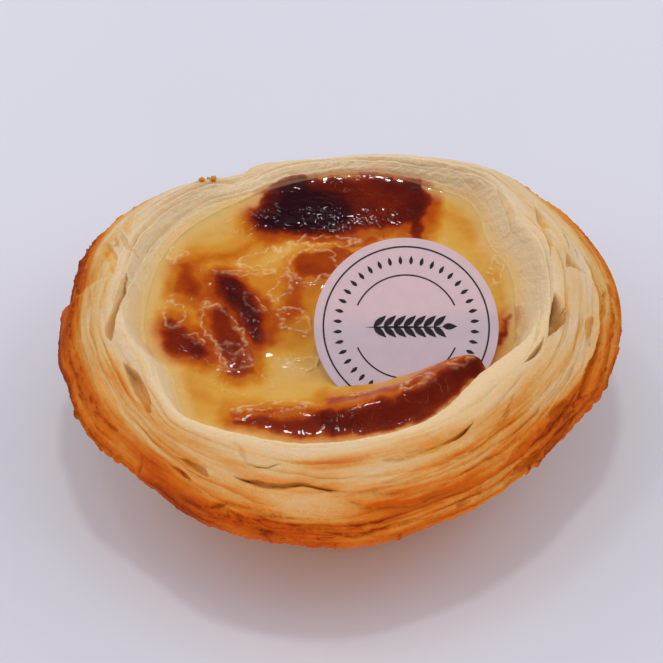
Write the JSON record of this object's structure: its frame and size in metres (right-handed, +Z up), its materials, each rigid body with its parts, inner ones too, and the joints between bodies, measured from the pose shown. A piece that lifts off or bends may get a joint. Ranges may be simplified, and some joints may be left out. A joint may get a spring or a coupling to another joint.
{
  "type": "egg tart",
  "caption": "Round baked egg tart with a flared puff pastry rim, browned custard filling and a tilted paper disc.",
  "frame": {"origin": "centre of the flat base the tart rests on", "axes": "+Z up; the paper disc leans towards -Y, which is the front"},
  "size_m": [0.0788, 0.074, 0.03],
  "materials": {
    "puff_pastry": "matte",
    "custard": "gloss",
    "paper_topper": "matte"
  },
  "bodies": {
    "root": {"pastry_shell": "puff_pastry", "custard": "custard", "paper_topper": "paper_topper"}
  },
  "joints": []
}
